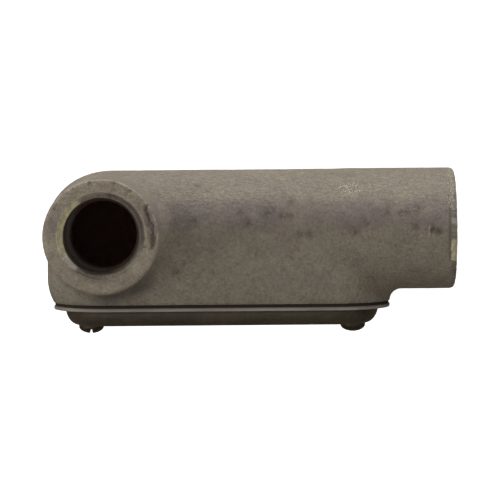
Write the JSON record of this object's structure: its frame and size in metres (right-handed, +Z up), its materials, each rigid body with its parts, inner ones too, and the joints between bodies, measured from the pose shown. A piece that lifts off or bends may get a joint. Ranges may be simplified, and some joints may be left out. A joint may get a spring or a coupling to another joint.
{
  "type": "threaded conduit body with side hub",
  "caption": "Cast grey iron conduit body that turns wiring ninety degrees, with threaded run and side hubs, a gasket, and a domed cover on slotted round-head screws.",
  "frame": {"origin": "middle of the underside of the part's box, as it lies on the flat side opposite the side hub", "axes": "+X along the run hub out of its mouth, +Y away from the cover towards the rounded back, +Z up along the side hub out of its mouth"},
  "size_m": [0.1284, 0.0515, 0.0536],
  "materials": {
    "body": "worn warm-grey enamel over sand-cast iron, fine grain, small pits, bright rubbed edges on the hubs",
    "cover": "the same grey enamel on pressed steel, darker on the dome, scuffed along the flange",
    "gasket": "black, matt",
    "screws": "dull plated steel, darkened, worn round the slot"
  },
  "bodies": {
    "casting": {"body_casting": "body"},
    "cover_assembly": {"cover": "cover", "gasket": "gasket"},
    "left_screw": {"left_cover_screw": "screws"},
    "right_screw": {"right_cover_screw": "screws"}
  },
  "joints": [
    {"name": "cover_removal", "type": "slide", "parent": "casting", "child": "cover_assembly", "axis": [0, -1, 0], "range_m": [0, 0.03]},
    {"name": "left_screw_turn", "type": "hinge", "parent": "cover_assembly", "child": "left_screw", "pos_m": [-0.05056, -0.02315, 0.0191], "axis": [0, -1, 0], "continuous": true},
    {"name": "right_screw_turn", "type": "hinge", "parent": "cover_assembly", "child": "right_screw", "pos_m": [0.03204, -0.02315, 0.0191], "axis": [0, -1, 0], "continuous": true}
  ]
}
